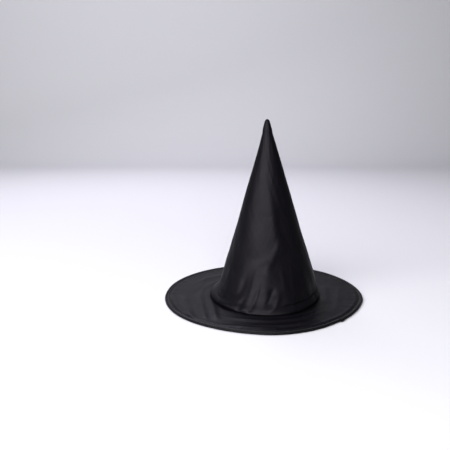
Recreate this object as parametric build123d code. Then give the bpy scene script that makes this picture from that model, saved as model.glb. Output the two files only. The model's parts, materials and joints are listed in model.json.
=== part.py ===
from build123d import *

import os
from math import asin, degrees, pi, sqrt

# Black satin witch hat, in millimetres.
# Origin: the centre of the hat's underside, where it stands. +Z points up through the tip.
# -Y is the wearer's front, and the crown's back seam runs up the +Y side.

# ---- Driving dimensions -------------------------------------------------------------------

BRIM_RADIUS = 190.0            # outer radius of the bound rim
HAT_HEIGHT = 342.0             # underside of the rim to the top of the tip
OPENING_RADIUS = 96.0          # inside of the sweatband: a head of 60 cm
CROWN_FOOT_RADIUS = 106.0      # outside of the crown where it is sewn to the brim
CONE_APEX_HEIGHT = 347.0       # where the cone's straight sides would meet
CONE_SLOPE = 0.294             # radius lost for each unit of height
FLARE_HEIGHT = 30.0            # the cone is straight above here, and its foot flares out below
TIP_RADIUS = 5.0               # rounded end of the crown

SATIN = 0.5                    # one layer of satin
LAYER_GAP = 0.1                # air between flat layers
SHELL_GAP = 0.2                # air between nested cones
BRIM_FELT = 2.0                # pressed felt inside the brim
CROWN_FELT = 1.2               # bonded lining inside the crown
THREAD_RADIUS = 0.3
BOBBIN_THREAD_RADIUS = 0.25

BINDING_WIDTH = 7.0            # how far the edge tape reaches in from the rim
LAP_AZIMUTH = -48.0            # the tape's end lies here, over its start
LAP_SPAN = 5.0                 # degrees of rim under the lapped end
LAP_GAP = 0.05                 # between the tape's two ends
WIRE_RADIUS = 0.8
WIRE_END_GAP = 1.5             # between the two ends of the hoop, inside the ferrule
FERRULE_LENGTH = 16.0
FERRULE_BORE_RADIUS = 0.85
FERRULE_RADIUS = 1.3
FERRULE_AZIMUTH = 90.0

SWEATBAND_THICKNESS = 0.8
SWEATBAND_FOOT = 1.0           # lower edge of the ribbon
SWEATBAND_STRAIGHT_TOP = 15.5  # the ribbon stands straight to here, then follows the cone
SWEATBAND_TOP = 25.0

# The bend and the fold are the crown's two soft stretches. The others keep their shape.
BEND_LOW = 150.0
BEND_HIGH = 230.0
FOLD_LOW = 280.0
FOLD_HIGH = 312.0
STIFFENER_TOP = 278.0
STRETCH_GAP = 0.1              # between one stretch of the crown and the next

BACK_SLOT = 3.0                # butt joint of the lining, open up the back for the seam
SEAM_THREAD_RADIUS = 0.4

# ---- Worked-out dimensions ----------------------------------------------------------------

FULL_TURN = 360.0
UNDER_PANEL_FOOT = SATIN + LAYER_GAP
BRIM_FELT_FOOT = UNDER_PANEL_FOOT + SATIN + LAYER_GAP
TOP_PANEL_FOOT = BRIM_FELT_FOOT + BRIM_FELT + LAYER_GAP
BRIM_TOP = TOP_PANEL_FOOT + SATIN
RIM_HEIGHT = BRIM_TOP + LAYER_GAP + SATIN
RIM_ROUND = RIM_HEIGHT / 2
RIM_CENTRE = BRIM_RADIUS - RIM_ROUND
BRIM_EDGE = RIM_CENTRE - RIM_ROUND
BINDING_ROOT = BRIM_RADIUS - BINDING_WIDTH
THREAD_ROOM = 4 * THREAD_RADIUS
BRIM_HOLE = OPENING_RADIUS + SWEATBAND_THICKNESS + THREAD_ROOM
CROWN_FOOT = BRIM_TOP + LAYER_GAP
SEAM_RADIUS = (BRIM_HOLE + CROWN_FOOT_RADIUS) / 2
STIFFENER_FOOT = CROWN_FOOT + SATIN + THREAD_ROOM
STIFFENER_INSET = SATIN + SHELL_GAP
SWEATBAND_INSET = STIFFENER_INSET + CROWN_FELT + SHELL_GAP
BACK_THREAD_INSET = STIFFENER_INSET + 1.5 * SEAM_THREAD_RADIUS
TIP_CENTRE = HAT_HEIGHT - TIP_RADIUS


# ---- Shape helpers ------------------------------------------------------------------------

def cone_radius(height):
    """Outside radius of the straight part of the crown."""
    return CONE_SLOPE * (CONE_APEX_HEIGHT - height)


def degrees_along_rim(length):
    """Angle that a length of the rim's wire takes up."""
    return length / (2 * pi * RIM_CENTRE) * FULL_TURN


def revolved(edges, start=0.0, span=FULL_TURN):
    """Turn a closed outline of (radius, height) edges round the hat's axis."""
    return Rot(0, 0, start) * revolve(Plane.XZ * make_face(edges), Axis.Z, span)


def ring(inner, outer, low, high):
    """Flat ring with a rectangular section."""
    section = Polyline((inner, low), (outer, low), (outer, high), (inner, high), close=True)
    return revolved(section.edges())


def round_ring(radius, height, thickness_radius, start=0.0, span=FULL_TURN):
    """Ring with a round section, such as a thread or a wire."""
    section = Plane.XZ * Pos(radius, height) * Circle(thickness_radius)
    return Rot(0, 0, start) * revolve(section, Axis.Z, span)


def cone_shell(low, high, inset, thickness):
    """A stretch of the straight cone, set in from the outside of the crown."""
    inner = inset + thickness
    section = Polyline(
        (cone_radius(low) - inset, low),
        (cone_radius(high) - inset, high),
        (cone_radius(high) - inner, high),
        (cone_radius(low) - inner, low),
        close=True,
    )
    return revolved(section.edges())


def flared_side(high, inset):
    """One side of the crown's lowest stretch: straight, then curving out to the foot."""
    top = (cone_radius(high) - inset, high)
    knee = (cone_radius(FLARE_HEIGHT) - inset, FLARE_HEIGHT)
    foot = (CROWN_FOOT_RADIUS - inset, CROWN_FOOT)
    return Line(top, knee), TangentArc(knee, foot, tangent=(CONE_SLOPE, -1))


def flared_shell(high, inset, thickness):
    """The crown's lowest stretch, whose foot flares out to meet the brim."""
    outer_line, outer_flare = flared_side(high, inset)
    inner_line, inner_flare = flared_side(high, inset + thickness)
    top = Line(outer_line @ 0, inner_line @ 0)
    foot = Line(outer_flare @ 1, inner_flare @ 1)
    return revolved([outer_line, outer_flare, foot, inner_flare, inner_line, top])


def tip_side(inset):
    """One side of the tip: a line that runs smoothly into the rounded end."""
    radius = TIP_RADIUS - inset
    foot = Vector(cone_radius(FOLD_HIGH) - inset, FOLD_HIGH)
    to_centre = Vector(0, TIP_CENTRE) - foot
    lean = degrees(asin(radius / to_centre.length))
    direction = to_centre.normalized().rotate(Axis.Z, -lean)
    touch = foot + direction * sqrt(to_centre.length**2 - radius**2)
    return Line(foot, touch), TangentArc(touch, (0, TIP_CENTRE + radius), tangent=direction)


def rod(start, end):
    """A straight run of the back seam's thread."""
    run = end - start
    base = Plane(origin=start, z_dir=run)
    return extrude(base * Circle(SEAM_THREAD_RADIUS), run.length)


def slotted(shell):
    """A lining cone with its butt joint left open up the back."""
    slot = Pos(0, 0, HAT_HEIGHT / 2) * Box(
        BACK_SLOT, BRIM_RADIUS, HAT_HEIGHT, align=(Align.CENTER, Align.MIN, Align.CENTER)
    )
    return shell - slot


# ---- Brim ---------------------------------------------------------------------------------

def brim_layer(foot, thickness):
    """A flat ring of the brim, from the head opening to the edge wire."""
    return ring(BRIM_HOLE, BRIM_EDGE, foot, foot + thickness)


def edge_wire():
    """The spring hoop in the rim, open where its ends meet in the ferrule."""
    gap = degrees_along_rim(WIRE_END_GAP)
    return round_ring(RIM_CENTRE, RIM_ROUND, WIRE_RADIUS, FERRULE_AZIMUTH + gap / 2, FULL_TURN - gap)


def wire_ferrule():
    """The crimped tube that joins the hoop's ends."""
    span = degrees_along_rim(FERRULE_LENGTH)
    section = Circle(FERRULE_RADIUS) - Circle(FERRULE_BORE_RADIUS)
    tube = revolve(Plane.XZ * Pos(RIM_CENTRE, RIM_ROUND) * section, Axis.Z, span)
    return Rot(0, 0, FERRULE_AZIMUTH - span / 2) * tube


def edge_binding():
    """The tape folded round the rim, and its end, which lies over its start."""
    tape_top = RIM_HEIGHT - SATIN
    tape = [
        Line((BINDING_ROOT, 0), (RIM_CENTRE, 0)),
        ThreePointArc((RIM_CENTRE, 0), (BRIM_RADIUS, RIM_ROUND), (RIM_CENTRE, RIM_HEIGHT)),
        Line((RIM_CENTRE, RIM_HEIGHT), (BINDING_ROOT, RIM_HEIGHT)),
        Line((BINDING_ROOT, RIM_HEIGHT), (BINDING_ROOT, tape_top)),
        Line((BINDING_ROOT, tape_top), (RIM_CENTRE, tape_top)),
        ThreePointArc((RIM_CENTRE, tape_top), (BRIM_RADIUS - SATIN, RIM_ROUND), (RIM_CENTRE, SATIN)),
        Line((RIM_CENTRE, SATIN), (BINDING_ROOT, SATIN)),
        Line((BINDING_ROOT, SATIN), (BINDING_ROOT, 0)),
    ]
    lap_foot = RIM_HEIGHT + LAP_GAP
    lap_top = lap_foot + SATIN
    lap_inside = BRIM_RADIUS + LAP_GAP
    outward = (1, 0)
    lap = [
        Line((BINDING_ROOT, lap_foot), (BINDING_ROOT, lap_top)),
        Line((BINDING_ROOT, lap_top), (RIM_CENTRE, lap_top)),
        TangentArc((RIM_CENTRE, lap_top), (lap_inside + SATIN, RIM_ROUND), tangent=outward),
        Line((lap_inside + SATIN, RIM_ROUND), (lap_inside, RIM_ROUND)),
        TangentArc((RIM_CENTRE, lap_foot), (lap_inside, RIM_ROUND), tangent=outward),
        Line((RIM_CENTRE, lap_foot), (BINDING_ROOT, lap_foot)),
    ]
    return Compound(children=[revolved(tape), revolved(lap, LAP_AZIMUTH, LAP_SPAN)])


def binding_thread():
    """The needle's row above the brim and the bobbin's row below, along the tape's edge."""
    radius = BINDING_ROOT - 2 * THREAD_RADIUS
    needle_row = round_ring(radius, BRIM_TOP + THREAD_RADIUS + LAYER_GAP / 2, THREAD_RADIUS)
    bobbin_row = round_ring(radius, UNDER_PANEL_FOOT / 2, BOBBIN_THREAD_RADIUS)
    return Compound(children=[needle_row, bobbin_row])


# ---- Head opening -------------------------------------------------------------------------

def sweatband():
    """The ribbon round the head: straight where it grips, then leaning in with the cone."""
    top_radius = cone_radius(SWEATBAND_TOP) - SWEATBAND_INSET
    outside = OPENING_RADIUS + SWEATBAND_THICKNESS
    section = Polyline(
        (OPENING_RADIUS, SWEATBAND_FOOT),
        (outside, SWEATBAND_FOOT),
        (outside, SWEATBAND_STRAIGHT_TOP),
        (top_radius, SWEATBAND_TOP),
        (top_radius - SWEATBAND_THICKNESS, SWEATBAND_TOP),
        (OPENING_RADIUS, SWEATBAND_STRAIGHT_TOP),
        close=True,
    )
    return revolved(section.edges())


def sweatband_thread():
    return round_ring((OPENING_RADIUS + SWEATBAND_THICKNESS + BRIM_HOLE) / 2, RIM_ROUND, THREAD_RADIUS)


def brim_seam_thread():
    """The row that sews the crown's turned-in edge down to the brim."""
    return round_ring(SEAM_RADIUS, CROWN_FOOT + SATIN + THREAD_ROOM / 2, THREAD_RADIUS)


# ---- Crown --------------------------------------------------------------------------------

def crown_panel_lower():
    """The foot of the satin cone, with its edge turned in over the brim."""
    turned_edge = ring(BRIM_HOLE, CROWN_FOOT_RADIUS - SATIN / 2, CROWN_FOOT, CROWN_FOOT + SATIN)
    return flared_shell(BEND_LOW, 0, SATIN) + turned_edge


def crown_stiffener_lower():
    """The lining cone below the bend, standing on the turned edge's stitches."""
    below = Pos(0, 0, STIFFENER_FOOT) * Cylinder(
        BRIM_RADIUS, HAT_HEIGHT, align=(Align.CENTER, Align.CENTER, Align.MAX)
    )
    return slotted(flared_shell(BEND_LOW, STIFFENER_INSET, CROWN_FELT) - below)


def crown_panel_tip():
    """The closed end of the satin cone."""
    outer_line, outer_round = tip_side(0)
    inner_line, inner_round = tip_side(SATIN)
    foot = Line(outer_line @ 0, inner_line @ 0)
    peak = Line(outer_round @ 1, inner_round @ 1)
    return revolved([outer_line, outer_round, peak, inner_round, inner_line, foot])


def back_thread(low, high):
    """The back seam's thread along a stretch of the straight cone."""
    ends = [Vector(0, cone_radius(height) - BACK_THREAD_INSET, height) for height in (low, high)]
    return rod(*ends)


def back_thread_tip():
    """The back seam's thread inside the tip."""
    run, _ = tip_side(BACK_THREAD_INSET)
    start, end = [Vector(0, point.X, point.Y) for point in (run @ 0, run @ 1)]
    return rod(start + Vector(0, 0, SEAM_THREAD_RADIUS), end)


# ---- Every piece, under the name of its node ----------------------------------------------

bend = (BEND_LOW + STRETCH_GAP, BEND_HIGH - STRETCH_GAP)
upper = (BEND_HIGH, FOLD_LOW)
fold = (FOLD_LOW + STRETCH_GAP, FOLD_HIGH - STRETCH_GAP)

pieces = {
    "brim_under_panel": brim_layer(UNDER_PANEL_FOOT, SATIN),
    "brim_stiffener": brim_layer(BRIM_FELT_FOOT, BRIM_FELT),
    "brim_top_panel": brim_layer(TOP_PANEL_FOOT, SATIN),
    "edge_wire": edge_wire(),
    "wire_ferrule": wire_ferrule(),
    "edge_binding": edge_binding(),
    "binding_thread": binding_thread(),
    "sweatband": sweatband(),
    "sweatband_thread": sweatband_thread(),
    "brim_seam_thread": brim_seam_thread(),
    "crown_panel_lower": crown_panel_lower(),
    "crown_panel_bend": cone_shell(*bend, 0, SATIN),
    "crown_panel_upper": cone_shell(*upper, 0, SATIN),
    "crown_panel_fold": cone_shell(*fold, 0, SATIN),
    "crown_panel_tip": crown_panel_tip(),
    "crown_stiffener_lower": crown_stiffener_lower(),
    "crown_stiffener_bend": slotted(cone_shell(*bend, STIFFENER_INSET, CROWN_FELT)),
    "crown_stiffener_upper": slotted(cone_shell(BEND_HIGH, STIFFENER_TOP, STIFFENER_INSET, CROWN_FELT)),
    "back_thread_lower": back_thread(FLARE_HEIGHT, BEND_LOW),
    "back_thread_bend": back_thread(*bend),
    "back_thread_upper": back_thread(*upper),
    "back_thread_fold": back_thread(*fold),
    "back_thread_tip": back_thread_tip(),
}

os.makedirs("parts", exist_ok=True)
for name, piece in pieces.items():
    export_step(piece, f"parts/{name}.step")
    print(f"{name}: {piece.volume:.0f} cubic mm")
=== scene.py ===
import json
import math

import bpy
import numpy as np
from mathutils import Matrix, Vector


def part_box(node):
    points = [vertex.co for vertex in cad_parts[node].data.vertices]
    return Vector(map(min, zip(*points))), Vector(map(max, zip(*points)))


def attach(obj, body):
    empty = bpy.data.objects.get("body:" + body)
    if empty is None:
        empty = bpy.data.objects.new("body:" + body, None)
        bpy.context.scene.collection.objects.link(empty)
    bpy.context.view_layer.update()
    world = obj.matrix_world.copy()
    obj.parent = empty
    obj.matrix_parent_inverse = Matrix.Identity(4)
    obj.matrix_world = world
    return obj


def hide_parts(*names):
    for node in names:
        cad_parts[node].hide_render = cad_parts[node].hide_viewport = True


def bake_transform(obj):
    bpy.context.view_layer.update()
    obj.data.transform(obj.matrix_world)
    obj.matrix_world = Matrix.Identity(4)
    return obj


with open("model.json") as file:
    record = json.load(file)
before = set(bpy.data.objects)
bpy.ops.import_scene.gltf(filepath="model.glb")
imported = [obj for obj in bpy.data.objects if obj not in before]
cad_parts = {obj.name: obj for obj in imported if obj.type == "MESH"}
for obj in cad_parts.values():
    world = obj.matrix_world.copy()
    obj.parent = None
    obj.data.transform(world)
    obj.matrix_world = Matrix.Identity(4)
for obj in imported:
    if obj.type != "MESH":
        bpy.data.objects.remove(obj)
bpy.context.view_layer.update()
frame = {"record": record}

# A black satin witch hat, in metres, on its CAD frame: +Z up, -Y the wearer's front.
# Azimuths are angles about +Z from +X, in degrees: -90 is the front, 90 the back seam.

MM = 0.001
FRONT = -90.0
BACK = 90.0

# ---- Sizes read from the frame ------------------------------------------------------------


def half_width(node):
    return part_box(node)[1].x


def span(node):
    low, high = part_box(node)
    return low.z, high.z


def half_height(node):
    low, high = span(node)
    return (high - low) / 2


def middle_height(node):
    return sum(span(node)) / 2


RIM_RADIUS = half_width("edge_binding")
WIRE_RADIUS = half_height("edge_wire")
RIM_CENTRE = half_width("edge_wire") - WIRE_RADIUS
RIM_MIDDLE = middle_height("edge_wire")
FERRULE_RADIUS = half_height("wire_ferrule")
FERRULE_LENGTH = 2 * half_width("wire_ferrule")
PANEL_EDGE = half_width("brim_top_panel")
PANEL_FOOT, BRIM_TOP = span("brim_top_panel")
FELT_LOW, FELT_HIGH = span("brim_stiffener")
UNDER_LOW, UNDER_HIGH = span("brim_under_panel")
SATIN = BRIM_TOP - PANEL_FOOT
STITCH_RADIUS = half_height("brim_seam_thread")
SEAM_RADIUS = half_width("brim_seam_thread") - STITCH_RADIUS
BINDING_ROOT = half_width("binding_thread") + STITCH_RADIUS
OPENING = frame["record"]["mounts"][0]["dims"]["r_mm"] * MM
BAND_FOOT, BAND_TOP = span("sweatband")
BAND_SEAM = middle_height("sweatband_thread")
BRIM_HOLE = half_width("sweatband_thread") + STITCH_RADIUS
FOOT_RADIUS = half_width("crown_panel_lower")
BEND_LOW, BEND_HIGH = span("crown_panel_bend")
FOLD_LOW, FOLD_HIGH = span("crown_panel_fold")
TIP_TOP = span("crown_panel_tip")[1]
LINING_TOP = span("crown_stiffener_upper")[1]
CONE_SLOPE = (half_width("crown_panel_bend") - half_width("crown_panel_fold")) / (FOLD_LOW - BEND_LOW)
APEX = BEND_LOW + half_width("crown_panel_bend") / CONE_SLOPE
CONE_SIDE = math.hypot(1, CONE_SLOPE)   # length along the cone's side for each unit of height
SPLIT = (BEND_HIGH + FOLD_LOW) / 2      # the crown's two visible pieces meet between the joints

# ---- Smooth shapes ------------------------------------------------------------------------


def smoothstep(low, high, value):
    t = np.clip((value - low) / (high - low), 0, 1)
    return t * t * (3 - 2 * t)


def hump(value, centre, width):
    return np.exp(-(((value - centre) / width) ** 2))


def turn_from(azimuth, centre):
    """Degrees from centre to azimuth, the short way round."""
    return (azimuth - centre + 180.0) % 360.0 - 180.0


def through(points, value):
    """Smooth curve through a few (value, result) or (value, result, result) points, level beyond its ends."""
    at, *results = np.array(points, float).T
    if len(results) > 1:
        return [through(np.stack([at, result], 1), value) for result in results]
    result = results[0]
    slope = np.gradient(result, at)
    slope[[0, -1]] = 0
    value = np.clip(value, at[0], at[-1])
    i = np.clip(np.searchsorted(at, value, side="right") - 1, 0, len(at) - 2)
    gap = at[i + 1] - at[i]
    t = (value - at[i]) / gap
    rise = t * t * (3 - 2 * t)
    start = t * (1 - t) ** 2 * gap * slope[i]
    end = -(t**2) * (1 - t) * gap * slope[i + 1]
    return result[i] * (1 - rise) + result[i + 1] * rise + start + end


def drawn_line(points, step):
    """Points every step or so along a smooth line through a few given points."""
    points = np.array(points, float)
    reach = np.concatenate([[0], np.cumsum(np.linalg.norm(np.diff(points, axis=0), axis=1))])
    along = np.linspace(0, reach[-1], int(reach[-1] / step) + 2)
    slopes = np.gradient(points, reach, axis=0)
    i = np.clip(np.searchsorted(reach, along, side="right") - 1, 0, len(points) - 2)
    gap = (reach[i + 1] - reach[i])[:, None]
    t = (along - reach[i])[:, None] / gap
    rise = t * t * (3 - 2 * t)
    line = points[i] * (1 - rise) + points[i + 1] * rise
    return line + t * (1 - t) ** 2 * gap * slopes[i] - t**2 * (1 - t) * gap * slopes[i + 1]


def wander(azimuth, along, seed, turns, waves, terms=10):
    """Smooth random field of about -1 to 1: waves with whole turns round the hat and lengths in metres."""
    rng = np.random.RandomState(seed)
    total = 0
    for _ in range(terms):
        around = rng.randint(turns[0], turns[1] + 1)
        rate = rng.choice([-1, 1]) * 2 * math.pi / rng.uniform(*waves)
        total = total + np.cos(np.radians(azimuth) * around + along * rate + rng.uniform(0, 2 * math.pi))
    return total / math.sqrt(terms)


# ---- Mesh making --------------------------------------------------------------------------


def placed(name, mesh):
    """An object for a mesh, smooth-shaded and in the scene."""
    mesh.polygons.foreach_set("use_smooth", [True] * len(mesh.polygons))
    mesh.update()
    piece = bpy.data.objects.new(name, mesh)
    bpy.context.scene.collection.objects.link(piece)
    return piece


def grid_mesh(name, points, grain, wrap, sharp=()):
    """Closed mesh from points[station, place in a closed section]. Its ends join, or are capped.

    The places in sharp have crisp edges along the stations."""
    stations, loop = points.shape[:2]
    steps = stations if wrap else stations - 1
    i, j = np.meshgrid(np.arange(steps), np.arange(loop), indexing="ij")
    ahead, beside = (i + 1) % stations, (j + 1) % loop
    corners = [(i, j), (ahead, j), (ahead, beside), (i, beside)]
    quads = np.stack([a * loop + b for a, b in corners], -1).reshape(-1, 4)
    seam = [(i, j), (i + 1, j), (i + 1, beside), (i, beside)]
    uvs = np.stack([grain[a, b] for a, b in seam], 2).reshape(-1, 4, 2)
    flat = points.reshape(-1, 3)
    a, b, c, d = (flat[quads[:, k]] for k in range(4))
    if (a * np.cross(b, c)).sum() + (a * np.cross(c, d)).sum() < 0:
        quads, uvs = quads[:, ::-1], uvs[:, ::-1]
    faces = quads.tolist()
    if not wrap:
        flipped = quads[0, 0] != 0
        first, last = list(range(loop)), list(range((stations - 1) * loop, stations * loop))
        faces += [first if flipped else first[::-1], last[::-1] if flipped else last]
    mesh = bpy.data.meshes.new(name)
    mesh.from_pydata(flat.tolist(), [], faces)
    layer = mesh.uv_layers.new(name="grain")
    values = uvs.reshape(-1, 2)
    if not wrap:
        values = np.concatenate([values, np.zeros((2 * loop, 2))])
    layer.data.foreach_set("uv", values.astype(np.float32).ravel())
    ends = np.empty(2 * len(mesh.edges), int)
    mesh.edges.foreach_get("vertices", ends)
    places = ends.reshape(-1, 2) % loop
    along = (places[:, 0] == places[:, 1]) & np.isin(places[:, 0], sharp)
    mesh.attributes.new("sharp_edge", "BOOLEAN", "EDGE").data.foreach_set("value", along)
    return placed(name, mesh)


def sides_of(line):
    """Unit normals to the right of a (radius, height) line's direction."""
    along = np.gradient(line, axis=0)
    along /= np.linalg.norm(along, axis=1)[:, None]
    return np.stack([along[:, 1], -along[:, 0]], 1)


def sheet_loop(line, thickness):
    """Closed section of a sheet whose face is line, with its other face behind and round edges."""
    normal = sides_of(line)
    back = line - normal * thickness
    ends = []
    for k, way in ((-1, 1), (0, -1)):
        along = np.array([-normal[k, 1], normal[k, 0]]) * way
        middle = (line[k] + back[k]) / 2
        ends.append(middle + along * thickness / 2)
    return np.concatenate([line, [ends[0]], back[::-1], [ends[1]]])


def polar(azimuth, radius):
    return radius * np.cos(np.radians(azimuth)), radius * np.sin(np.radians(azimuth))


def flat_grain(azimuth, radius, height):
    """Cloth cut flat, its grain along the hat's own X and Y."""
    return polar(azimuth, radius)


def swept(name, loop, azimuths, place, grain=flat_grain, sharp=()):
    """A closed (radius, height) section carried round the hat; a whole turn joins up."""
    wrap = abs(azimuths[-1] - azimuths[0] - 360.0) < 1e-6
    azimuth = np.asarray(azimuths)[:, None]
    radius, height = loop[None, :, 0], loop[None, :, 1]
    points = np.stack(np.broadcast_arrays(*place(azimuth[:-1] if wrap else azimuth, radius, height)), -1)
    closed = np.concatenate([loop, loop[:1]])
    turned = grain(azimuth, closed[None, :, 0], closed[None, :, 1])
    return grid_mesh(name, points, np.stack(np.broadcast_arrays(*turned), -1), wrap, sharp)


def all_round(columns, finer_at_seam=0.0):
    """Azimuths of a whole turn from the back seam, closer together beside it if asked."""
    finer_for = 4.0
    turn = np.linspace(0, 360, 20 * 360 + 1)
    density = 1 + finer_at_seam * hump(turn_from(turn, 0), 0, finer_for)
    reach = np.concatenate([[0], np.cumsum((density[1:] + density[:-1]) / 2)])
    return BACK + np.interp(np.linspace(0, reach[-1], columns + 1), reach, turn)


def round_loop(radius, height, wire_radius, sides=12):
    turn = 2 * math.pi * np.arange(sides) / sides
    return np.stack([radius + wire_radius * np.cos(turn), height + wire_radius * np.sin(turn)], 1)


def stitches(name, middles, ways, length, radius):
    """A row of short, slightly bowed threads. Each middle is (point, outward direction)."""
    sides, stations = 6, 5
    taper, bow = 0.8, 1.2
    turns = 2 * math.pi * np.arange(sides) / sides
    place = np.linspace(-1, 1, stations)
    fat = np.sqrt(1 - taper * place**2)
    points, faces = [], []
    for (middle, outward), way in zip(middles, ways):
        side = np.cross(way, outward)
        base = len(points)
        for at, width in zip(place, fat):
            centre = middle + way * at * length / 2 - outward * radius * bow * at**2
            for turn in turns:
                points.append(centre + (outward * math.cos(turn) + side * math.sin(turn)) * radius * width)
        for i in range(stations - 1):
            for j in range(sides):
                k = (j + 1) % sides
                rows = base + i * sides, base + (i + 1) * sides
                faces.append((rows[0] + j, rows[0] + k, rows[1] + k, rows[1] + j))
        faces.append(tuple(base + j for j in range(sides))[::-1])
        faces.append(tuple(base + (stations - 1) * sides + j for j in range(sides)))
    mesh = bpy.data.meshes.new(name)
    mesh.from_pydata([tuple(p) for p in points], [], faces)
    return placed(name, mesh)


# ---- Materials ----------------------------------------------------------------------------


# A texture's output is read between the first two of these as a value, and between the others as a colour.
NOISE_LOW, NOISE_HIGH = 0.25, 0.75
DARK_BELOW, LIGHT_ABOVE = 0.3, 0.7


class Finish:
    """A node material with short helpers for its nodes."""

    def __init__(self, name, **constants):
        self.material = bpy.data.materials.new(name)
        self.material.use_nodes = True
        self.tree = self.material.node_tree
        self.shader = self.tree.nodes["Principled BSDF"]
        for socket, value in constants.items():
            self.shader.inputs[socket.replace("_", " ")].default_value = value

    def node(self, kind, settings=None, **inputs):
        node = self.tree.nodes.new(kind)
        for key, value in (settings or {}).items():
            setattr(node, key, value)
        for key, value in inputs.items():
            self.feed(node.inputs[key.replace("_", " ")], value)
        return node

    def feed(self, socket, value):
        if isinstance(value, bpy.types.NodeSocket):
            self.tree.links.new(value, socket)
        else:
            socket.default_value = value

    def grain(self, across, along):
        """Cloth coordinates, stretched so that a unit is one feature."""
        uv = self.node("ShaderNodeUVMap", {"uv_map": "grain"})
        scaled = self.node("ShaderNodeMapping")
        self.feed(scaled.inputs["Vector"], uv.outputs["UV"])
        scaled.inputs["Scale"].default_value = (across, along, 1)
        return scaled.outputs["Vector"]

    def space(self, scale):
        """Position on the hat, scaled."""
        at = self.node("ShaderNodeTexCoord")
        scaled = self.node("ShaderNodeMapping")
        self.feed(scaled.inputs["Vector"], at.outputs["Object"])
        scaled.inputs["Scale"].default_value = (scale, scale, scale)
        return scaled.outputs["Vector"]

    def noise(self, vector, detail=2.0, roughness=0.5):
        node = self.node("ShaderNodeTexNoise", Scale=1.0, Detail=detail, Roughness=roughness)
        self.feed(node.inputs["Vector"], vector)
        return node.outputs["Fac"]

    def between(self, fac, low, high):
        """A value from low to high over the middle of a texture's range."""
        node = self.node("ShaderNodeMapRange")
        self.feed(node.inputs["Value"], fac)
        node.inputs["From Min"].default_value = NOISE_LOW
        node.inputs["From Max"].default_value = NOISE_HIGH
        node.inputs["To Min"].default_value = low
        node.inputs["To Max"].default_value = high
        return node.outputs["Result"]

    def colours(self, fac, dark, light):
        node = self.node("ShaderNodeValToRGB")
        node.color_ramp.elements[0].color = (*dark, 1)
        node.color_ramp.elements[1].color = (*light, 1)
        node.color_ramp.elements[0].position = DARK_BELOW
        node.color_ramp.elements[1].position = LIGHT_ABOVE
        self.feed(node.inputs["Fac"], fac)
        return node.outputs["Color"]

    def raise_by(self, height, distance, normal=None):
        node = self.node("ShaderNodeBump", Strength=1.0, Distance=distance)
        self.feed(node.inputs["Height"], height)
        if normal is not None:
            self.feed(node.inputs["Normal"], normal)
        return node.outputs["Normal"]

    def finish(self, **inputs):
        for socket, value in inputs.items():
            self.feed(self.shader.inputs[socket.replace("_", " ")], value)
        return self.material


def satin_finish(name, dark, light, gloss):
    """Satin: long smooth warp floats, so it shines across them, with faint slubs and a soft unevenness."""
    made = Finish(name, Specular_IOR_Level=0.08, Specular_Tint=(0.95, 0.91, 1.0, 1), Anisotropic=0.4)
    floats = made.noise(made.grain(4200, 520), 1.0)
    slubs = made.noise(made.grain(900, 35), 2.0)
    cloud = made.noise(made.space(34), 3.0)
    tangent = made.node("ShaderNodeTangent", {"direction_type": "UV_MAP", "uv_map": "grain"})
    weave = made.raise_by(floats, 0.00002)
    worn = made.raise_by(slubs, 0.000015, weave)
    rumpled = made.raise_by(cloud, 0.0002, worn)
    return made.finish(
        Base_Color=made.colours(made.noise(made.grain(260, 60), 3.0), dark, light),
        Roughness=made.between(cloud, gloss - 0.03, gloss + 0.04),
        Tangent=tangent.outputs["Tangent"],
        Normal=rumpled,
    )


def felt_finish():
    """Pressed felt: matt, with short fibres lying every way."""
    made = Finish("black_felt", Specular_IOR_Level=0.3, Sheen_Weight=0.25, Sheen_Roughness=0.6)
    fibres = made.noise(made.space(1400), 4.0, 0.7)
    return made.finish(
        Base_Color=made.colours(fibres, (0.012, 0.012, 0.013), (0.03, 0.03, 0.032)),
        Roughness=made.between(fibres, 0.85, 0.98),
        Normal=made.raise_by(fibres, 0.0003),
    )


def lining_finish():
    """Bonded lining: a matt web of fibres pressed together at rows of dots."""
    made = Finish("bonded_lining", Specular_IOR_Level=0.35, Sheen_Weight=0.15, Sheen_Roughness=0.5)
    dots = made.node("ShaderNodeTexVoronoi", {"feature": "F1"}, Scale=1.0, Randomness=0.15)
    made.feed(dots.inputs["Vector"], made.grain(620, 620))
    pressed = made.between(dots.outputs["Distance"], 0.0, 1.0)
    fibres = made.noise(made.space(900), 4.0, 0.65)
    return made.finish(
        Base_Color=made.colours(fibres, (0.014, 0.014, 0.016), (0.032, 0.032, 0.035)),
        Roughness=made.between(pressed, 0.55, 0.9),
        Normal=made.raise_by(fibres, 0.0002, made.raise_by(pressed, 0.0003)),
    )


def ribbon_finish():
    """Grosgrain: ribs across the ribbon, a soft shine along them."""
    made = Finish("ribbon", Specular_IOR_Level=0.45, Sheen_Weight=0.1, Sheen_Roughness=0.4)
    crosswise = {"wave_type": "BANDS", "bands_direction": "X"}
    ribs = made.node("ShaderNodeTexWave", crosswise, Scale=1.0, Distortion=0.3)
    made.feed(ribs.inputs["Vector"], made.grain(300, 300))
    fibres = made.noise(made.grain(700, 3000), 2.0)
    return made.finish(
        Base_Color=made.colours(fibres, (0.008, 0.008, 0.009), (0.018, 0.018, 0.02)),
        Roughness=made.between(fibres, 0.45, 0.62),
        Normal=made.raise_by(fibres, 0.00005, made.raise_by(ribs.outputs["Fac"], 0.0004)),
    )


def thread_finish():
    """Spun thread: two plies twisted round each other."""
    made = Finish("black_thread", Specular_IOR_Level=0.5, Sheen_Weight=0.2, Sheen_Roughness=0.4)
    plies = made.noise(made.space(2600), 2.0)
    return made.finish(
        Base_Color=made.colours(plies, (0.022, 0.022, 0.025), (0.05, 0.05, 0.055)),
        Roughness=made.between(plies, 0.42, 0.6),
        Normal=made.raise_by(plies, 0.0002),
    )


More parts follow.
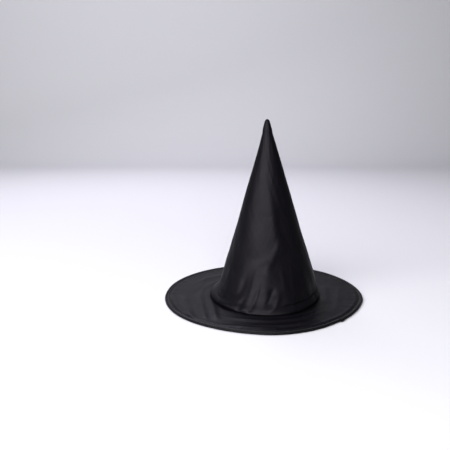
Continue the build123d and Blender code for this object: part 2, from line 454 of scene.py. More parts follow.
def metal_finish(name, dark, light, rough):
    """Drawn metal, with scratches along it and a dull bloom."""
    made = Finish(name, Metallic=1.0)
    marks = made.noise(made.space(1500), 3.0)
    return made.finish(
        Base_Color=made.colours(marks, dark, light),
        Roughness=made.between(marks, rough - 0.08, rough + 0.1),
        Normal=made.raise_by(marks, 0.00004),
    )


satin = satin_finish("black_satin", (0.0015, 0.0013, 0.0019), (0.0025, 0.0021, 0.0032), 0.46)
tape = satin_finish("binding_tape", (0.0024, 0.0024, 0.0028), (0.0040, 0.0040, 0.0044), 0.48)
felt = felt_finish()
lining = lining_finish()
ribbon = ribbon_finish()
thread = thread_finish()
steel = metal_finish("spring_wire", (0.32, 0.32, 0.33), (0.52, 0.52, 0.53), 0.35)
brass = metal_finish("ferrule_brass", (0.45, 0.33, 0.16), (0.68, 0.52, 0.28), 0.38)


def dress(piece, material, slot_name, *nodes):
    piece.data.materials.append(material)
    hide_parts(*nodes)
    return piece


# ---- Crown: outline, lean and folds --------------------------------------------------------

# The crown leans a little towards +X between its foot and its tip: (height, shift), in mm.
LEAN = [(3, 1.0), (12, 2.0), (20, 4.4), (30, 6.3), (75, 7.0), (130, 5.8), (205, 3.8), (285, 2.6), (340, 0.6)]

# Section of the foot: (distance in from the foot's widest place, height), in mm.
# The edge is turned in over the brim, and it holds the satin out in a lip above its seam.
FOOT_LIP = [
    (7.6, 4.05), (4.2, 4.0), (1.2, 4.15), (0.0, 5.8), (0.4, 8.4),
    (2.2, 12.2), (5.2, 16.6), (8.3, 21.2), (11.2, 26.4),
]

# The section is straight between these two heights, and then closes in to the tip: (radius, height), in mm.
STRAIGHT_FROM = 33.0
TIP_FROM = 315.0
TIP_CURVE = [
    (8.6, 321.0), (7.2, 327.0), (5.9, 332.4), (4.7, 336.2), (3.5, 338.8), (1.9, 340.4), (0.12, 341.0),
]
ROW_STEP = 1.8

# Soft folds at the front: (azimuth and height of the top, the same of the foot, half width in
# degrees, height of the fold in mm).
FRONT_FOLDS = [
    (-87.0, 190.0, -77.5, 112.0, 10.0, 1.9),
    (-73.0, 126.0, -95.5, 80.0, 7.5, 1.8),
    (-95.0, 92.0, -100.5, 38.0, 8.5, 3.2),
    (-63.0, 205.0, -65.0, 40.0, 27.0, -5.0),
    (-110.0, 74.0, -113.5, 4.0, 3.2, 1.4),
    (-121.0, 66.0, -125.0, 28.0, 4.2, -1.5),
    (-104.0, 54.0, -107.3, 6.0, 2.2, -1.9),
    (-90.0, 46.0, -92.5, 20.0, 3.4, -2.8),
    (-83.5, 39.0, -87.5, 13.0, 3.4, 2.5),
    (-76.0, 74.0, -77.0, 44.0, 3.0, 0.8),
    (-118.0, 26.0, -118.0, 3.0, 2.8, -1.2),
    (-135.0, 24.0, -134.0, 3.0, 9.0, 2.4),
]

# The hollow above the lip: (degrees from the front, depth, height of its middle, in mm).
LIP_HOLLOW = [
    (-180, 1.0, 16), (-120, 1.4, 19), (-88, 2.4, 21), (-70, 2.2, 20.5), (-58, 1.8, 17), (-48, 1.0, 17.5),
    (-38, 0.5, 18), (-26, 0.2, 17), (0, 0.2, 17), (8, 0.9, 15), (14, 2.0, 16.3), (24, 2.4, 17),
    (45, 2.2, 17.6), (60, 1.8, 18), (80, 1.2, 16), (180, 1.0, 16),
]

# The soft foot stands forward of its seam: (degrees from the front, distance forward in mm),
# and the share of that distance at each height in mm.
FRONT_REACH = [
    (-180, 0.0), (-120, 0.0), (-90, 1.5), (-55, 6.0), (-37, 9.6), (-16, 14.6), (-5, 15.4), (5, 15.6),
    (15, 14.8), (28, 10.8), (43, 5.0), (54, 2.4), (72, 0.4), (100, 0.0), (180, 0.0),
]
REACH_SHARE = [(4, 1.0), (8, 0.96), (16, 0.96), (26, 1.0), (40, 0.8), (60, 0.46), (78, 0.14), (95, 0.0)]

# The folds grow from nothing at the turned-in edge, and fade out at the tip, over these heights in mm.
FOOT_FADE = (4, 12)
TIP_FADE = (341, 322)


def cone_radius(height):
    return CONE_SLOPE * (APEX - height)


def slant(height):
    """Distance from the apex down the cone's side."""
    return (APEX - height) * CONE_SIDE


def fold(azimuth, height, top_azimuth, top, foot_azimuth, foot, width, rise):
    """One long soft fold that fades out at both of its ends."""
    share = (height / MM - foot) / (top - foot)
    line = foot_azimuth + (top_azimuth - foot_azimuth) * np.clip(share, -0.3, 1.3)
    fade = smoothstep(-0.25, 0.15, share) * (1 - smoothstep(0.6, 1.25, share))
    return rise * MM * fade * hump(turn_from(azimuth, line), 0, width)


def foot_gathers():
    """Short gathers that the seam pulls into the satin round the foot, away from the front."""
    rng = np.random.RandomState(11)
    gathers = []
    for centre in np.arange(-58.0, 230.0, 13.0):
        place = centre + rng.uniform(-5, 5)
        foot_place = place + rng.uniform(-8, 8)
        rise = rng.uniform(0.35, 1.0) * rng.choice([-1, 1])
        gathers.append((place, rng.uniform(34, 85), foot_place, 7.0, rng.uniform(2.4, 5.0), rise))
    return gathers


CROWN_FOLDS = FRONT_FOLDS + foot_gathers()


def back_seam(azimuth, radius, height):
    """The sewn line up the back: a groove between two ridges, with small puckers beside it."""
    puckers_every = 9.0 * MM
    across = np.radians(turn_from(azimuth, BACK)) * radius / MM
    groove = -0.55 * hump(across, 0, 0.9) + 0.4 * hump(np.abs(across), 3.0, 1.8)
    pucker = 0.3 * np.cos(2 * math.pi * height / puckers_every) * hump(across, 0, 9.0)
    return (groove + pucker) * MM * smoothstep(0, 20 * MM, height) * smoothstep(TIP_TOP, 318 * MM, height)


def rumples(azimuth, height, radius):
    """Random unevenness in three sizes. The two larger ones shrink with the cone."""
    size = np.clip(radius / (90 * MM), 0.12, 1)
    slow = 0.9 * wander(azimuth, height, seed=3, turns=(2, 5), waves=(0.14, 0.34))
    ripple = 0.16 * wander(azimuth, height, seed=5, turns=(7, 22), waves=(0.03, 0.11), terms=16)
    fine = 0.045 * wander(azimuth, height, seed=8, turns=(20, 60), waves=(0.012, 0.03), terms=16)
    return (slow * size + ripple * (0.4 + 0.6 * size) + fine) * MM


def front_crease(azimuth, mm):
    """Depth of the faint crease half way up the front, with a ridge over it."""
    side = np.abs(turn_from(azimuth, -94.0))
    line = 166.0 + 0.3 * side
    crease = hump(mm, line, 3.4) - 0.7 * hump(mm, line + 8.0, 4.6)
    return 0.16 * MM * crease * hump(side, 0, 16.0)


def left_swell(azimuth, mm):
    """The satin swells just above the lip on the left, under a wide hollow."""
    left = hump(turn_from(azimuth, 178.0), 0, 36.0)
    return MM * left * (0.6 * hump(mm, 19.0, 5.0) - 1.6 * hump(mm, 29.0, 6.0))


def lip_hollow(azimuth, mm):
    """Depth of the hollow above the lip, with a swell under it."""
    depth, middle = through(LIP_HOLLOW, turn_from(azimuth, FRONT))
    return MM * depth * (hump(mm, middle, 0.2 * middle) - 0.5 * hump(mm, 0.5 * middle, 0.2 * middle))


def crown_relief(azimuth, height):
    """How far the satin stands out from the plain cone."""
    mm = height / MM
    radius = np.maximum(cone_radius(height), 4 * MM)
    total = rumples(azimuth, height, radius)
    for crown_fold in CROWN_FOLDS:
        total = total + fold(azimuth, height, *crown_fold)
    total = total - front_crease(azimuth, mm)
    total = total + left_swell(azimuth, mm)
    total = total - lip_hollow(azimuth, mm)
    total = total + back_seam(azimuth, radius, height)
    return total * smoothstep(*FOOT_FADE, mm) * smoothstep(*TIP_FADE, mm)


def foot_reach(azimuth, radius, height):
    """How far the foot's front sits forward, from nothing at the turned-in edge."""
    reach = through(FRONT_REACH, turn_from(azimuth, FRONT)) * through(REACH_SHARE, height / MM)
    return MM * reach * np.maximum(smoothstep(99 * MM, 105 * MM, radius), smoothstep(7 * MM, 10 * MM, height))


def leaning(azimuth, radius, height, lean=LEAN):
    """A point of a round section, shifted sideways by the lean at its height."""
    x, y = polar(azimuth, radius)
    return x + through(lean, height / MM) * MM, y, height + 0 * azimuth


def on_crown(azimuth, radius, height):
    """Where a point of the crown's section lies once it leans and folds."""
    folded = radius + crown_relief(azimuth, height)
    return leaning(azimuth, folded + foot_reach(azimuth, radius, height), height)


def crown_grain(azimuth, radius, height):
    """The satin's own flat pattern: a fan about the apex, its straight grain down the front."""
    turn = np.radians(azimuth - BACK - 180.0) * CONE_SLOPE / CONE_SIDE
    return slant(height) * np.sin(turn), slant(height) * np.cos(turn)


def crown_line():
    """The crown's outside from the turned-in edge to the tip, as (radius, height)."""
    foot = [(FOOT_RADIUS - inward * MM, height * MM) for inward, height in FOOT_LIP]
    low = drawn_line(foot + [(cone_radius(STRAIGHT_FROM * MM), STRAIGHT_FROM * MM)], 1.0 * MM)
    heights = np.arange(STRAIGHT_FROM + ROW_STEP, TIP_FROM, ROW_STEP) * MM
    side = np.stack([cone_radius(heights), heights], 1)
    start = [(cone_radius(TIP_FROM * MM), TIP_FROM * MM)]
    high = drawn_line(start + [(radius * MM, height * MM) for radius, height in TIP_CURVE], 0.8 * MM)
    return np.concatenate([low, side, high])


CROWN_LINE = crown_line()
CROWN_TURN = all_round(560, 4.0)


def rows_between(line, low, high):
    """The part of a line from one height to another."""
    return line[(line[:, 1] >= low - 1e-9) & (line[:, 1] <= high + 1e-9)]


SPLIT_HEIGHT = CROWN_LINE[np.argmin(np.abs(CROWN_LINE[:, 1] - SPLIT)), 1]
LOWER_LINE = rows_between(CROWN_LINE, 0, SPLIT_HEIGHT)
UPPER_LINE = rows_between(CROWN_LINE, SPLIT_HEIGHT, TIP_TOP)


def crown_satin(name, line, cut_row):
    """A piece of the crown's satin, with a crisp edge at the row where it meets the other."""
    return swept(name, sheet_loop(line, SATIN), CROWN_TURN, on_crown, crown_grain, [cut_row])


satin_lower = crown_satin("crown_satin_lower", LOWER_LINE, len(LOWER_LINE) - 1)
satin_upper = crown_satin("crown_satin_upper", UPPER_LINE, 0)
dress(satin_lower, satin, "black_satin", "crown_panel_lower", "crown_panel_bend")
dress(satin_upper, satin, "black_satin", "crown_panel_upper", "crown_panel_fold", "crown_panel_tip")

# ---- Crown: lining and back seam ------------------------------------------------------------

LINING = 1.2 * MM
LINING_GAP = 0.2 * MM
LINING_FOOT = 12 * MM
INSIDE_LINE = CROWN_LINE - sides_of(CROWN_LINE) * (SATIN + LINING_GAP)

# The lining stops short of the back seam on both of its sides, in degrees.
SEAM_CLEARANCE = 1.7
LINING_TURN = BACK + np.linspace(SEAM_CLEARANCE, 360 - SEAM_CLEARANCE, 361)


def deepest_fold(azimuth, height):
    """The satin's relief at its deepest close above and below a height."""
    near = [crown_relief(azimuth, height + step * MM) for step in (-3.5, 0, 3.5)]
    return np.minimum.reduce(near)


def on_lining(azimuth, radius, height):
    """As on_crown, but clear of the satin's folds."""
    folded = radius + deepest_fold(azimuth, height)
    return leaning(azimuth, folded + foot_reach(azimuth, radius, height), height)


def crown_lining(name, low, high):
    line = rows_between(INSIDE_LINE, low, high)
    return swept(name, sheet_loop(line, LINING), LINING_TURN, on_lining, crown_grain)


lining_lower = crown_lining("crown_lining_lower", LINING_FOOT, SPLIT_HEIGHT)
lining_upper = crown_lining("crown_lining_upper", SPLIT_HEIGHT, LINING_TOP)
dress(lining_lower, lining, "bonded_lining", "crown_stiffener_lower", "crown_stiffener_bend")
dress(lining_upper, lining, "bonded_lining", "crown_stiffener_upper")

# Inside the back seam the satin's two edges stand up side by side, with the seam's stitches
# through both of them close to the crown.
ALLOWANCE = 8 * MM
ALLOWANCE_FOOT = BAND_TOP + 3 * MM
ALLOWANCE_TOP = 326 * MM
BACK_STITCH_PITCH = 3.1 * MM
BACK_STITCH = 2.4 * MM
BACK_STITCH_DEPTH = 1.3 * MM
BACK_THREAD = 0.22 * MM


def seam_edge(height):
    """Where the standing edges leave the crown, as (x, y)."""
    y = cone_radius(height) - 1.05 * SATIN + crown_relief(BACK, height)
    return through(LEAN, height / MM) * MM, y


def edge_half_width(outer):
    """Half the width of the two edges side by side, less where the tip leaves them little room."""
    return np.minimum(SATIN, 0.35 * outer)


def standing_edges(name, low, high):
    heights = np.linspace(low, high, int((high - low) / (2 * MM)))
    x, outer = seam_edge(heights)
    inner = np.maximum(outer - ALLOWANCE, 1.2 * MM)
    wave = 0.5 * MM * np.sin(heights / (17 * MM)) + 0.3 * MM * np.sin(heights / (7 * MM) + 1)
    half = edge_half_width(outer)
    share = np.array([0, 0.5, 1, 1, 0.5, 0])
    side = np.array([1, 1, 0.7, -0.7, -1, -1])
    reach = outer[:, None] + (inner - outer)[:, None] * share
    across = x[:, None] + half[:, None] * side + wave[:, None] * share**2
    points = np.stack([across, reach, heights[:, None] + 0 * reach], -1)
    grain = np.stack([points[..., 1], points[..., 2]], -1)
    grain = np.concatenate([grain, grain[:, :1]], 1)
    return grid_mesh(name, points, np.concatenate([grain, grain[:1]], 0), False)


def back_stitches(name, low, high):
    """The seam's stitches on both sides of the standing edges."""
    middles, ways = [], []
    slope = np.array([0.0, -CONE_SLOPE, 1.0]) / CONE_SIDE
    for height in np.arange(low + 2 * MM, high - 1 * MM, BACK_STITCH_PITCH):
        x, outer = (float(v) for v in seam_edge(height))
        half = edge_half_width(outer)
        for side in (1, -1):
            middle = np.array([x + side * half, outer - BACK_STITCH_DEPTH, height])
            middles.append((middle, np.array([side, 0.0, 0.0])))
            ways.append(slope)
    return stitches(name, middles, ways, BACK_STITCH, BACK_THREAD)


edges_lower = standing_edges("back_edges_lower", ALLOWANCE_FOOT, SPLIT_HEIGHT)
edges_upper = standing_edges("back_edges_upper", SPLIT_HEIGHT, ALLOWANCE_TOP)
back_lower = back_stitches("back_stitches_lower", ALLOWANCE_FOOT, SPLIT_HEIGHT)
back_upper = back_stitches("back_stitches_upper", SPLIT_HEIGHT, ALLOWANCE_TOP)
dress(edges_lower, satin, "black_satin", "crown_panel_lower", "crown_panel_bend")
dress(edges_upper, satin, "black_satin", "crown_panel_upper", "crown_panel_fold", "crown_panel_tip")
dress(back_lower, thread, "black_thread", "back_thread_lower", "back_thread_bend")
dress(back_upper, thread, "black_thread", "back_thread_upper", "back_thread_fold", "back_thread_tip")

# ---- Brim ------------------------------------------------------------------------------------

# The hoop is a little off centre, and flat beside the tape's lapped end: (azimuth, distance
# outwards in mm), half a turn each way from its middle.
RIM_SHAPE_MIDDLE = -8.0
RIM_SHAPE = [
    (-188.0, 2.6), (-172.0, 4.6), (-160.0, 5.6), (-148.0, 6.2), (-136.0, 5.4), (-124.0, 3.6), (-112.0, 2.7),
    (-100.0, 2.8), (-89.0, 4.0), (-82.0, 2.9), (-76.0, 1.4), (-70.0, 0.0), (-64.0, -1.9), (-58.0, -3.6),
    (-52.0, -5.2), (-46.0, -4.9), (-40.0, -5.0), (-34.0, -4.9), (-28.0, -4.4), (-22.0, -3.6), (-10.0, -0.2),
    (2.0, 1.0), (30.0, 0.6), (60.0, -1.0), (100.0, -1.6), (140.0, 0.0), (172.0, 2.6),
]

# Ripples in the satin that follow the crown's seam: (azimuth, half spread in degrees,
# radius, half width and height in mm, change of radius in mm over the half spread).
RING_RIPPLES = [
    (-74.0, 30.0, 124.0, 4.6, 1.3, 0.0),
    (-82.0, 32.0, 140.5, 5.6, 2.1, -1.0),
    (-80.0, 20.0, 162.0, 5.6, 2.5, 0.0),
    (-101.0, 13.0, 171.0, 3.6, 1.5, -1.0),
    (40.0, 30.0, 118.0, 4.6, 0.7, 2.0),
    (66.0, 24.0, 136.0, 6.0, 0.7, 6.0),
    (120.0, 36.0, 118.0, 4.4, 0.8, -2.0),
    (134.0, 26.0, 142.0, 6.0, 0.7, 6.0),
    (170.0, 20.0, 122.0, 5.0, 0.7, 2.0),
]

# Long straight ripples, the strongest side by side on the left: (x of the back end and the
# front end, y of the back end and the front end, half width, height), in mm.
LONG_RIPPLES = [
    (-175.0, -147.5, -30.0, -116.0, 6.5, 1.8),
    (-156.0, -131.5, -28.0, -120.5, 6.3, 2.9),
    (-127.5, -108.5, -20.0, -130.0, 6.3, 2.5),
    (-103.5, -91.0, -47.0, -130.0, 6.0, 2.5),
    (128.0, 112.0, 40.0, -48.0, 8.0, 0.9),
    (150.0, 128.0, 20.0, -84.0, 7.0, 0.7),
    (-118.0, -132.0, 96.0, 20.0, 7.0, 0.9),
    (44.0, 98.0, 140.0, 112.0, 6.5, 0.8),
]

# The rim's stitches pull puckers into the satin at this radius, which fade over this reach, in mm.
PUCKER_ROW = 180.0
PUCKER_REACH = 15.0

# The satin rolls up a little beside the tape: (radius, half width, height), in mm.
TAPE_ROLL = (176.5, 3.6, 0.5)

# Inside this radius the brim lies flat under the crown's foot.
FLAT_WITHIN = 105 * MM


def brim_rise(azimuth, radius):
    """How far the whole brim lifts off the table, in low slow waves that grow to the rim."""
    out = smoothstep(FLAT_WITHIN, RIM_RADIUS, radius)
    behind = 0.5 - 0.5 * np.cos(np.radians(turn_from(azimuth, FRONT)))
    return out * MM * behind * (0.6 + 1.6 * hump(turn_from(azimuth, 42.0), 0, 34.0))


def on_brim(azimuth, radius, height):
    """Where a point of the brim lies once its rim is off the true circle and lifts."""
    out = smoothstep(112 * MM, BINDING_ROOT, radius)
    shift = through(RIM_SHAPE, turn_from(azimuth, RIM_SHAPE_MIDDLE) + RIM_SHAPE_MIDDLE) * MM
    x, y = polar(azimuth, radius + shift * out)
    return x, y, height + brim_rise(azimuth, radius)


def squeezed(radius, height):
    """Height of a layer where the rim's stitches squeeze the brim thinner."""
    squeeze = 0.42 * smoothstep(176 * MM, 182.5 * MM, radius)
    return RIM_MIDDLE + (height - RIM_MIDDLE) * (1 - squeeze)


def on_brim_layer(azimuth, radius, height):
    return on_brim(azimuth, radius, squeezed(radius, height))


def edge_puckers():
    """(azimuth, half width in degrees, height in mm) of each pucker, the highest of them at the front."""
    rng = np.random.RandomState(23)
    spots = np.arange(-180.0, 180.0, 6.0)
    azimuths = spots + rng.uniform(-2.4, 2.4, len(spots))
    rises = rng.uniform(0.15, 1.0, len(spots)) * (0.35 + 0.65 * hump(turn_from(azimuths, -80.0), 0, 34.0))
    return np.stack([azimuths, rng.uniform(0.9, 2.0, len(spots)), rises], 1)


EDGE_PUCKERS = edge_puckers()


def slack(azimuth, radius, seed):
    """Random looseness of a brim panel, from 0 where it is taut to 2."""
    return 1 + np.tanh(1.4 * wander(azimuth, radius, seed, turns=(4, 14), waves=(0.03, 0.1), terms=14))


def ring_ripple(azimuth, radius, centre, spread, at, width, rise, drift):
    turn = turn_from(azimuth, centre) / spread
    return rise * MM * hump(turn * np.abs(turn), 0, 1) * hump(radius / MM, at + drift * turn, width)


def long_ripple(x, y, x_back, x_front, y_back, y_front, width, rise):
    along = np.array([x_front - x_back, y_front - y_back])
    length = np.linalg.norm(along)
    along = along / length
    share = ((x - x_back) * along[0] + (y - y_back) * along[1]) / length
    off = (x - x_back) * along[1] - (y - y_back) * along[0]
    return rise * MM * hump(off, 0, width) * smoothstep(-0.25, 0.2, share) * smoothstep(1.2, 0.8, share)


def brim_ripples(azimuth, radius):
    """How far the satin over the felt puckers up."""
    total = 0.12 * slack(azimuth, radius, seed=41) * MM
    near_tape = hump(radius / MM, PUCKER_ROW, PUCKER_REACH)
    for centre, width, rise in EDGE_PUCKERS:
        total = total + rise * MM * near_tape * hump(turn_from(azimuth, centre), 0, width)
    roll_at, roll_width, roll_rise = TAPE_ROLL
    total = total + roll_rise * MM * hump(radius / MM, roll_at, roll_width)
    for ripple in RING_RIPPLES:
        total = total + ring_ripple(azimuth, radius, *ripple)
    x, y = polar(azimuth, radius / MM)
    for ripple in LONG_RIPPLES:
        total = total + long_ripple(x, y, *ripple)
    return total * smoothstep(FLAT_WITHIN, 110 * MM, radius) * smoothstep(BINDING_ROOT, 178 * MM, radius)


def on_brim_top(azimuth, radius, height):
    x, y, z = on_brim_layer(azimuth, radius, height)
    return x, y, z + brim_ripples(azimuth, radius)


def on_brim_under(azimuth, radius, height):
    x, y, z = on_brim_layer(azimuth, radius, height)
    hang = 0.2 * slack(azimuth, radius, seed=47) * MM
    hang = hang * smoothstep(BRIM_HOLE, 108 * MM, radius) * smoothstep(BINDING_ROOT, 174 * MM, radius)
    return x, y, z - hang


def flat_line(start, end, height, step):
    radii = np.linspace(start, end, int(abs(end - start) / step) + 1)
    return np.stack([radii, np.full_like(radii, height)], 1)


BRIM_TURN = all_round(540)
top_panel = swept(
    "brim_satin_top",
    sheet_loop(flat_line(PANEL_EDGE, BRIM_HOLE, BRIM_TOP, 1.4 * MM), SATIN),
    BRIM_TURN, on_brim_top,
)
under_panel = swept(
    "brim_satin_under",
    sheet_loop(flat_line(BRIM_HOLE, PANEL_EDGE, UNDER_LOW, 2.5 * MM), UNDER_HIGH - UNDER_LOW),
    BRIM_TURN, on_brim_under,
)
brim_felt = swept(
    "brim_felt",
    sheet_loop(flat_line(PANEL_EDGE, BRIM_HOLE, FELT_HIGH, 6 * MM), FELT_HIGH - FELT_LOW),
    all_round(180), on_brim_layer,
)
dress(top_panel, satin, "black_satin", "brim_top_panel")
dress(under_panel, satin, "black_satin", "brim_under_panel")
dress(brim_felt, felt, "black_felt", "brim_stiffener")

# ---- Rim: wire, ferrule and bound edge -------------------------------------------------------

# Outside of the folded tape from its lower edge round the wire to its upper edge: (distance
# in from the rim, height), in mm.
TAPE_SECTION = [
    (7.2, 0.75), (6.0, 0.62), (4.8, 0.4), (3.6, 0.08), (2.5, 0.0), (1.2, 0.45), (0.3, 1.3), (0.0, 2.4),
    (0.3, 3.5), (1.2, 4.4), (2.4, 4.85), (3.6, 4.6), (4.8, 4.1), (6.0, 3.88), (7.2, 3.84),
]

# How far in from the rim the row of stitches and the middle of the roll are, in mm.
ROW_INWARD = 5.9
ROLL_INWARD = 3.2
RIM_STITCHES = 380


def tape_line():
    return drawn_line([(RIM_RADIUS - inward * MM, height * MM) for inward, height in TAPE_SECTION], 0.75 * MM)


def on_tape(azimuth, radius, height):
    """The tape dips at each stitch and puffs up between them, with drag lines round the roll."""
    inward = (RIM_RADIUS - radius) / MM
    side = np.clip((height - RIM_MIDDLE) / (1.5 * MM), -1, 1)
    dip = 0.5 + 0.5 * np.cos(np.radians(azimuth) * RIM_STITCHES)
    row = hump(inward, ROW_INWARD, 1.0)
    aslant = azimuth + 1.5 * height / MM
    drag = wander(aslant, radius, seed=51, turns=(90, 240), waves=(0.02, 0.05), terms=14)
    drag = drag * hump(inward, ROLL_INWARD, 2.4)
    uneven = 1 + 0.5 * wander(azimuth, 0.0, seed=53, turns=(9, 40), waves=(1, 2), terms=8)
    lowered = 0.3 * dip * row * uneven + 0.08 * (1 + drag) * hump(inward, ROLL_INWARD, 3.0)
    x, y, z = on_brim(azimuth, radius, height)
    return x, y, z - side * MM * lowered


def tape_grain(azimuth, radius, height):
    """Bias tape: its weave runs at 45 degrees to its length."""
    along = np.radians(azimuth) * RIM_RADIUS
    across = (RIM_RADIUS - radius) * np.sign(height - RIM_MIDDLE)
    return (along + across) / math.sqrt(2), (along - across) / math.sqrt(2)


binding = swept("edge_tape", sheet_loop(tape_line(), SATIN), all_round(2280), on_tape, tape_grain)
dress(binding, tape, "binding_tape", "edge_binding")

# The tape's end laps over its start, and its free corner stands a little proud of the rim,
# less and less over the degrees beside it.
LAP_CORNER = -48.0
LAP_SPAN = 5.0
LAP_PROUD = 2.3 * MM
LAP_PROUD_OVER = 4.6


def on_lap(azimuth, radius, height):
    x, y, z = on_tape(azimuth, radius, height)
    from_corner = azimuth - LAP_CORNER
    proud = LAP_PROUD * smoothstep(LAP_PROUD_OVER, 0, from_corner) * smoothstep(184 * MM, RIM_CENTRE, radius)
    shift_x, shift_y = polar(azimuth, proud)
    return x + shift_x, y + shift_y, z


def lap_line():
    """The tape's outside from under the rim to its upper edge, standing off by one more layer."""
    line = tape_line()
    line = line[np.argmin(line[:, 1]):]
    lift = SATIN * smoothstep(0, RIM_MIDDLE, line[:, 1])
    return line + sides_of(line) * lift[:, None]


LAP_TURN = LAP_CORNER + np.linspace(0, LAP_SPAN, 26)
lap = swept("edge_tape_lap", sheet_loop(lap_line(), SATIN), LAP_TURN, on_lap, tape_grain)
dress(lap, tape, "binding_tape", "edge_binding")

wire = swept("rim_wire", round_loop(RIM_CENTRE, RIM_MIDDLE, WIRE_RADIUS), all_round(360), on_brim)
dress(wire, steel, "spring_wire", "edge_wire")
HALF_FERRULE = math.degrees(FERRULE_LENGTH / 2 / RIM_CENTRE)
ferrule = swept(
    "rim_ferrule",
    round_loop(RIM_CENTRE, RIM_MIDDLE, FERRULE_RADIUS, 16),
    BACK + np.linspace(-HALF_FERRULE, HALF_FERRULE, 12), on_brim,
)
dress(ferrule, brass, "ferrule_brass", "wire_ferrule")


def stitch_ring(name, count, radius, height, place, length, thread_radius, facing=(0, 1)):
    """A row of stitches round the hat, each lying along the row and facing (outwards, up)."""
    azimuths = 360.0 * (np.arange(count) + 0.5) / count
    step = 0.1
    middles, ways = [], []
    for azimuth in azimuths:
        spots = [np.array([float(v) for v in place(a, radius, height)]) for a in (azimuth, azimuth + step)]
        way = spots[1] - spots[0]
        middles.append((spots[0], np.array([*polar(azimuth, facing[0]), facing[1]])))
        ways.append(way / np.linalg.norm(way))
    return stitches(name, middles, ways, length, thread_radius)


STITCH_ROW = RIM_RADIUS - ROW_INWARD * MM
RIM_STITCH = 2.3 * MM
upper_row = stitch_ring(
    "rim_stitches_top", RIM_STITCHES, STITCH_ROW, height=4.05 * MM, place=on_tape,
    length=RIM_STITCH, thread_radius=0.25 * MM,
)
lower_row = stitch_ring(
    "rim_stitches_under", RIM_STITCHES, STITCH_ROW, height=0.5 * MM, place=on_tape,
    length=RIM_STITCH, thread_radius=0.22 * MM, facing=(0, -1),
)
dress(upper_row, thread, "black_thread", "binding_thread")
dress(lower_row, thread, "black_thread", "binding_thread")

# ---- Head opening ----------------------------------------------------------------------------

# The ribbon's free upper edge leans with the crown round it: (height, shift towards +X), in mm.
BAND_LEAN = [(8, 0.0), (12, 0.5), (16, 2.2), (20, 3.9), (25, 5.4)]


def on_band(azimuth, radius, height):
    """The ribbon leans with the crown, and its upper part gives way to the crown's hollows."""
    push = np.minimum(0, deepest_fold(azimuth, height)) * smoothstep(12, 19, height / MM)
    return leaning(azimuth, radius + push, height, BAND_LEAN)


def ribbon_grain(azimuth, radius, height):
    return np.radians(azimuth) * OPENING, height


# The ribbon's inner face: a little inside the opening at its free upper edge, and upright below.
BAND = 0.8 * MM
BAND_LEAN_IN = [(91.4 * MM, BAND_TOP), (94.0 * MM, 20.5 * MM)]
BAND_UPRIGHT = [(OPENING, 15.5 * MM), (OPENING, 8 * MM), (OPENING, BAND_FOOT)]
BAND_LINE = drawn_line(BAND_LEAN_IN + BAND_UPRIGHT, 1.0 * MM)
sweatband = swept("sweatband_ribbon", sheet_loop(BAND_LINE, BAND), all_round(360), on_band, ribbon_grain)
dress(sweatband, ribbon, "ribbon", "sweatband")

seam_row = stitch_ring(
    "seam_stitches", 210, SEAM_RADIUS, height=4.9 * MM, place=on_band,
    length=2.4 * MM, thread_radius=0.3 * MM,
)
band_row = stitch_ring(
    "sweatband_stitches", 200, OPENING, height=BAND_SEAM, place=on_band,
    length=2.2 * MM, thread_radius=0.25 * MM, facing=(-1, 0),
)
dress(seam_row, thread, "black_thread", "brim_seam_thread")
dress(band_row, thread, "black_thread", "sweatband_thread")

# ---- Baked pieces and bodies -----------------------------------------------------------------

for piece in (satin_lower, lining_lower, edges_lower, back_lower):
    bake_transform(piece)
for piece in (satin_upper, edges_upper, back_upper):
    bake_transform(piece)
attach(lining_upper, "crown_upper")
for piece in (
    top_panel, under_panel, brim_felt, binding, lap, wire, ferrule,
    upper_row, lower_row, sweatband, band_row, seam_row,
):
    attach(piece, "root")


def length_of(line):
    return float(np.linalg.norm(np.diff(line, axis=0), axis=1).sum())


length_of(lap_line())

# ---- Floor, light and camera ------------------------------------------------------------------

FLOOR_REACH = 6.0
SWEEP_FROM = 2.2
SWEEP_RADIUS = 0.8
WALL_TOP = 1.15


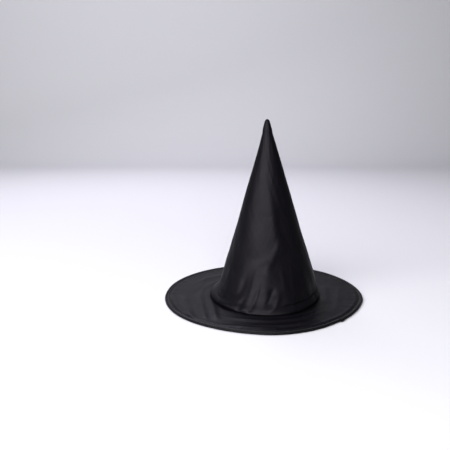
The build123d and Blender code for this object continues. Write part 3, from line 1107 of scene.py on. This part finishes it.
def studio():
    """A pale floor that sweeps up into a wall behind the hat."""
    section = [(-FLOOR_REACH, 0.0), (SWEEP_FROM, 0.0)]
    for turn in np.linspace(0.1, math.pi / 2, 16):
        out, up = SWEEP_FROM + math.sin(turn) * SWEEP_RADIUS, SWEEP_RADIUS - math.cos(turn) * SWEEP_RADIUS
        section.append((out, up))
    section.append((SWEEP_FROM + SWEEP_RADIUS, WALL_TOP))
    points = [(x, y, z) for y, z in section for x in (-FLOOR_REACH, FLOOR_REACH)]
    faces = [(2 * k, 2 * k + 1, 2 * k + 3, 2 * k + 2) for k in range(len(section) - 1)]
    mesh = bpy.data.meshes.new("studio_floor")
    mesh.from_pydata(points, [], faces)
    made = placed("studio_floor", mesh)
    paint = Finish("studio_paint", Base_Color=(0.53, 0.53, 0.55, 1), Roughness=0.9, Specular_IOR_Level=0.1)
    mesh.materials.append(paint.material)


def softbox(name, place, target, size, watts, colour):
    light = bpy.data.lights.new(name, "AREA")
    light.shape = "RECTANGLE"
    light.size, light.size_y = size
    light.energy = watts
    light.color = colour
    made = bpy.data.objects.new(name, light)
    made.location = place
    made.rotation_euler = (Vector(target) - Vector(place)).to_track_quat("-Z", "Y").to_euler()
    bpy.context.scene.collection.objects.link(made)


studio()
softbox("key", (-0.98, -1.84, 1.15), (0, 0, 0.15), size=(3.5, 1.3), watts=143, colour=(1.0, 0.985, 1.0))
softbox("high_front", (-0.45, -1.15, 1.95), (0, 0, 0.05), size=(1.2, 1.0), watts=12, colour=(0.98, 0.98, 1.0))
softbox("top", (0.0, 0.2, 2.6), (0, 0.2, 0), size=(2.4, 2.0), watts=20, colour=(0.92, 0.91, 1.0))
softbox("back_left", (-0.6, 1.6, 1.75), (0, 0, 0.1), size=(1.5, 1.0), watts=31, colour=(0.9, 0.88, 1.0))
softbox("wall_light", (-0.9, 1.0, 2.4), (-0.6, 3.0, 0.4), size=(3.2, 0.6), watts=29, colour=(0.94, 0.94, 1.0))

world = bpy.data.worlds.new("studio")
world.use_nodes = True
background = world.node_tree.nodes["Background"]
background.inputs["Color"].default_value = (0.9, 0.93, 1.0, 1)
background.inputs["Strength"].default_value = 0.07
bpy.context.scene.world = world
bpy.context.scene.view_settings.view_transform = "Standard"

# The camera was fitted to the outlines of the brim, the crown's seam and the tip in the photograph.
CAMERA_PLACE = (-0.0771, -1.0142, 0.3692)
CAMERA_LENS = 43.36
CAMERA_SENSOR = 36
DEGREES_DOWN = 12.67
camera = bpy.data.cameras.new("camera")
camera.lens = CAMERA_LENS
camera.sensor_width = CAMERA_SENSOR
view = bpy.data.objects.new("camera", camera)
view.location = CAMERA_PLACE
view.rotation_euler = (math.radians(90 - DEGREES_DOWN), 0, 0)
bpy.context.scene.collection.objects.link(view)
bpy.context.scene.camera = view
